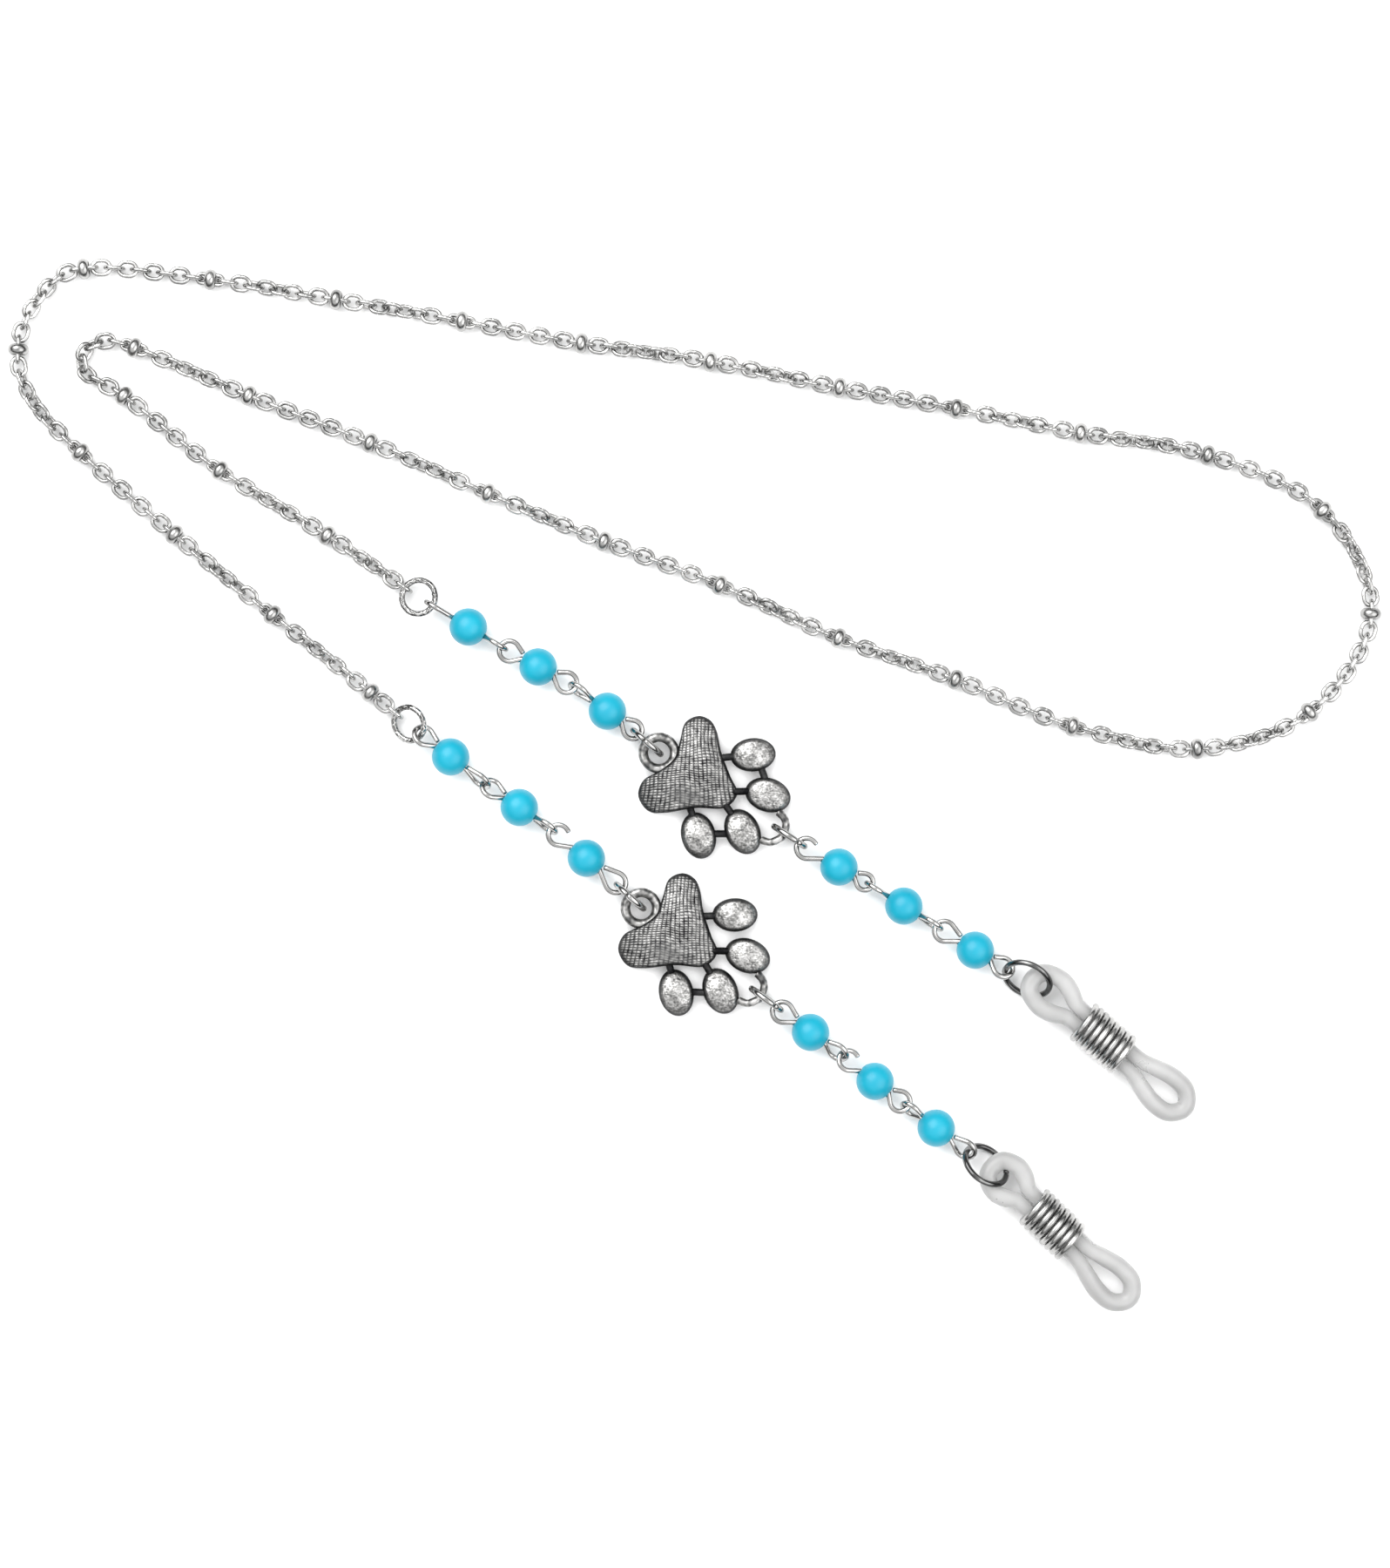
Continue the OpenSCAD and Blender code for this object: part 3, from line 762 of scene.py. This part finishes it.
def paw(strand):
    outline = smooth_curve(PAD_OUTLINE, 22, True)
    shapes = [dome(outline, PAD_MIDDLE, PAD_CROWN, PAD_ROUND, linen)]
    for x, y, heading, length, width in TOES:
        turn = np.linspace(0, 2 * np.pi, 220, endpoint=False)
        c, s = math.cos(math.radians(heading)), math.sin(math.radians(heading))
        oval = np.column_stack([length * np.cos(turn), width * np.sin(turn)])
        oval = oval @ np.array([[c, s], [-s, c]]) + (x, y)
        shapes.append(dome(oval, np.array([x, y]), TOE_CROWN, TOE_ROUND, mottled, rings=48))
    for ends in BARS + ([TOE_TIE] if strand == "a" else []):
        shapes.append(charm_bar(ends))
    inlet = tube(wire_circle(1.8, 80), 0.55, 24, UP, closed=True)
    shapes.append(cast_loop(inlet, (-6.09, 3.67), amount=0.02, low=0.25, high=0.85))
    outlet = tube(wire_circle(1.85, 60, -125, 185), 0.45, 24, UP)
    shapes.append(cast_loop(outlet, (6.6, -4.7), amount=0.03, low=0.2, high=0.9))
    return merged(shapes)


def paw_charm(strand):
    """The paw, turned and centred on its CAD node."""
    verts, faces, wear = paw(strand)
    turn = math.radians(CHARM_TURN[strand])
    c, s = math.cos(turn), math.sin(turn)
    verts = verts @ np.array([[c, s, 0], [-s, c, 0], [0, 0, 1]])
    low, high = (np.array(corner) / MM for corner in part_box(f"paw_charm_{strand}"))
    spread = (verts.min(0) + verts.max(0)) / 2
    shift = (low + high) / 2 - spread
    shift[2] = low[2] - verts[:, 2].min()
    return verts + shift, faces, wear


# Rubber loops and their coils. Each row is a place along the loop and across it, a height, and
# the cord's radius there.

RUBBER_HALF = [
    (-9.9, 1.35, 2.3, 1.03), (-8.0, 2.0, 2.4, 1.03), (-6.4, 1.7, 2.5, 1.03),
    (-5.0, 1.02, 2.58, 0.93), (-4.2, 0.9, 2.6, 0.87), (-2.0, 0.9, 2.6, 0.87),
    (0.0, 0.9, 2.6, 0.87), (2.0, 0.9, 2.6, 0.87), (4.9, 0.9, 2.6, 0.87),
    (7.0, 1.42, 2.35, 0.98), (9.0, 1.85, 1.85, 1.03), (10.9, 1.75, 1.35, 1.03),
    (12.0, 0.95, 1.12, 1.03)]
RUBBER_NEAR = (-10.45, 0, 2.3, 1.03)
RUBBER_FAR = (12.4, 0, 1.08, 1.03)
WAIST_START = -4.4
NEAR_SHARE = {"a": 1.0, "b": 0.83}  # how long each loop's near part is, against loop a's
COIL_HEIGHT = 2.6


def coil_place(strand):
    """The coil's middle and its directions: along the loop, across it and up."""
    low, high = (np.array(corner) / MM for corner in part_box(f"coil_spring_{strand}"))
    along = unit(np.array(joints[f"coil_slide_{strand}"]["axis"]))
    return (low + high) / 2, (along, np.cross(UP, along), UP)


def rubber_loop(strand):
    """The cord's one closed skin: out from the end ring, through the coil, and back."""
    middle, axes = coil_place(strand)
    share = NEAR_SHARE[strand]

    def drawn_in(row):
        u = row[0]
        return (WAIST_START + share * (u - WAIST_START) if u < WAIST_START else u, *row[1:])

    half = [drawn_in(row) for row in RUBBER_HALF]
    back = [(u, -v, z, r) for u, v, z, r in reversed(half)]
    rows = smooth_curve([drawn_in(RUBBER_NEAR)] + half + [RUBBER_FAR] + back, 9, True)
    shape = tube(rows[:, :3], rows[:, 3:], 28, UP, closed=True)
    return moved(shape, middle * (1, 1, 0), axes)


def coil_spring(strand):
    middle, axes = coil_place(strand)
    turns, pitch, mean, wire = 7.5, 0.8, 2.24, 0.36
    per_turn = 44  # points
    turn = np.arange(int(turns * per_turn) + 1) / per_turn
    angle = 2 * np.pi * turn
    path = np.stack([(turn - turns / 2) * pitch, mean * np.cos(angle), mean * np.sin(angle)], 1)
    shape = cut_wire(path, wire, 14, np.array([1.0, 0.0, 0.0]))
    return moved(shape, (middle[0], middle[1], COIL_HEIGHT), axes)


# Build.

random.seed(7)
for k in CHAIN_RUNS:
    piece(f"links_{k:02d}", chain_links(f"chain_links_{k:02d}"), CHAIN_SILVER,
          f"chain_links_{k:02d}")
    piece(f"satellites_{k:02d}", satellite_beads(f"satellite_beads_{k:02d}"), SATELLITE_SILVER,
          f"satellite_beads_{k:02d}")
for s in STRANDS:
    piece(f"hammered_{s}", hammered_ring(f"hammered_ring_{s}"), HAMMERED_SILVER,
          f"hammered_ring_{s}")
    piece(f"jump_in_{s}", jump_ring(f"charm_ring_in_{s}", seam=100), RING_SILVER,
          f"charm_ring_in_{s}")
    piece(f"jump_out_{s}", jump_ring(f"charm_ring_out_{s}", seam=60), RING_SILVER,
          f"charm_ring_out_{s}")
    piece(f"end_ring_wire_{s}", jump_ring(f"end_ring_{s}", seam=200), DARK_STEEL,
          f"end_ring_{s}")
    piece(f"paw_{s}", paw_charm(s), PEWTER, f"paw_charm_{s}")
    piece(f"rubber_{s}", rubber_loop(s), RUBBER, f"rubber_loop_{s}")
    piece(f"coil_{s}", coil_spring(s), COIL_SILVER, f"coil_spring_{s}")
    for k in BEADS_IN_STRAND:
        piece(f"pin_{s}{k}", eye_pin(f"{s}{k}"), PIN_SILVER, f"eye_pin_{s}{k}")
        piece(f"round_bead_{s}{k}", bead(f"{s}{k}"), TURQUOISE, f"bead_{s}{k}")


# Floor, light and camera, in metres.

FLOOR_HALF = 3.0
CAMERA_PLACE = (0.00005, 0.0001, 0.62)
PICTURE_HEIGHT = 0.180
SENSOR_WIDTH = 36.0


def floor():
    mesh = bpy.data.meshes.new("floor")
    corners = [(-1, -1), (1, -1), (1, 1), (-1, 1)]
    mesh.from_pydata([(FLOOR_HALF * x, FLOOR_HALF * y, 0) for x, y in corners],
                     [], [(0, 1, 2, 3)])
    mat, _, shader = new_material("floor")
    shader.inputs["Base Color"].default_value = (0.94, 0.94, 0.94, 1)
    shader.inputs["Roughness"].default_value = 0.8
    mesh.materials.append(mat)
    obj = bpy.data.objects.new("floor", mesh)
    bpy.context.scene.collection.objects.link(obj)


def area_light(name, place, size, power):
    """A square light that faces the middle of the strap."""
    data = bpy.data.lights.new(name, "AREA")
    data.shape = "SQUARE"
    data.size = size
    data.energy = power
    obj = bpy.data.objects.new(name, data)
    obj.location = place
    obj.rotation_euler = (-Vector(place)).to_track_quat("-Z", "Y").to_euler()
    bpy.context.scene.collection.objects.link(obj)


def world():
    """Bright overhead and dark below, which gives bright wires their dark edges."""
    made = bpy.data.worlds.new("studio")
    bpy.context.scene.world = made
    made.use_nodes = True
    tree = made.node_tree
    back = tree.nodes["Background"]
    place = node(tree, "ShaderNodeTexCoord")
    split = node(tree, "ShaderNodeSeparateXYZ")
    tree.links.new(place.outputs["Generated"], split.inputs["Vector"])
    shade = ramp(tree, split.outputs["Z"], [
        (0.0, (0.03, 0.03, 0.03)), (0.38, (0.06, 0.06, 0.06)), (0.6, (1.3, 1.3, 1.3)),
        (0.8, (1.45, 1.45, 1.45)), (0.97, (1.05, 1.05, 1.05))])
    tree.links.new(shade, back.inputs["Color"])
    back.inputs["Strength"].default_value = 1.0


def camera():
    """Looks straight down. At this distance the picture is PICTURE_HEIGHT tall at the floor."""
    data = bpy.data.cameras.new("camera")
    data.sensor_width = SENSOR_WIDTH
    data.lens = SENSOR_WIDTH * CAMERA_PLACE[2] / PICTURE_HEIGHT
    obj = bpy.data.objects.new("camera", data)
    obj.location = CAMERA_PLACE
    bpy.context.scene.collection.objects.link(obj)
    bpy.context.scene.camera = obj


floor()
world()
area_light("key", (-0.35, 0.45, 0.75), size=0.8, power=9.0)
area_light("fill", (0.55, -0.2, 0.7), size=0.8, power=4.0)
camera()
bpy.context.scene.view_settings.view_transform = "Standard"
